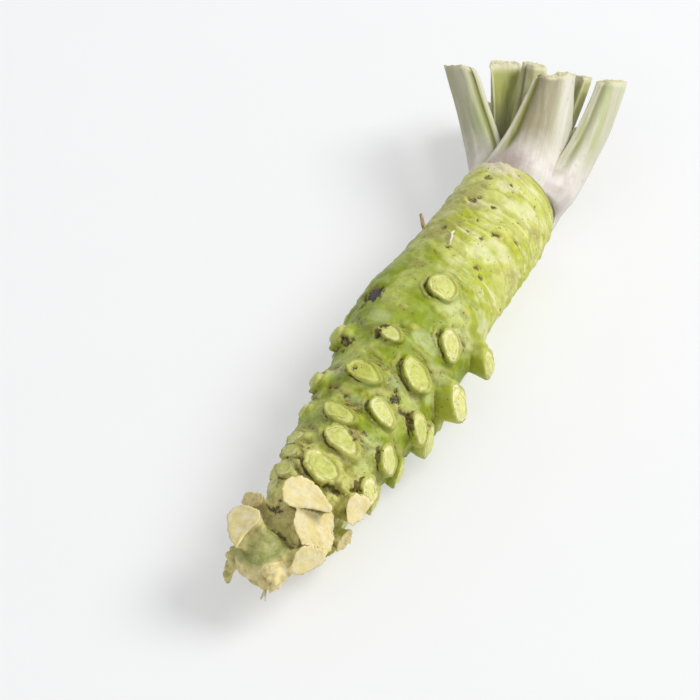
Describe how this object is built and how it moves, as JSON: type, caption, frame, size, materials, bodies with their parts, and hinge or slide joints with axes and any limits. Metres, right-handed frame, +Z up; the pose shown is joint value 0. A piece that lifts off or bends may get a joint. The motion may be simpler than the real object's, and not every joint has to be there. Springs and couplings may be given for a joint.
{
  "type": "wasabi root",
  "caption": "Fresh wasabi root lying on its side: a knobbly green rhizome with trimmed buds, a torn tip and the cut stubs of its leaf stalks fanning from the crown.",
  "frame": {"origin": "under the middle of the lying root, on the surface it lies on", "axes": "+X along the root from its torn tip to its crown and stalks, +Y to the left-hand side seen from the tip, +Z up"},
  "size_m": [0.2356, 0.068, 0.044],
  "materials": {
    "rhizome_skin": "moist, rough skin with smooth cut faces",
    "outer_stalk": "satin, finely ribbed lengthwise",
    "inner_stalk": "satin, finely ribbed lengthwise",
    "heart_stalk": "satin, finely ribbed lengthwise"
  },
  "bodies": {
    "root": {"rhizome": "rhizome_skin", "leaf_stalk_left": "outer_stalk", "leaf_stalk_front": "outer_stalk", "leaf_stalk_right": "outer_stalk", "leaf_stalk_under_right": "outer_stalk", "leaf_stalk_under_left": "outer_stalk", "leaf_stalk_inner_left": "inner_stalk", "leaf_stalk_inner_middle": "inner_stalk", "leaf_stalk_inner_right": "inner_stalk", "leaf_stalk_heart": "heart_stalk"}
  },
  "joints": []
}
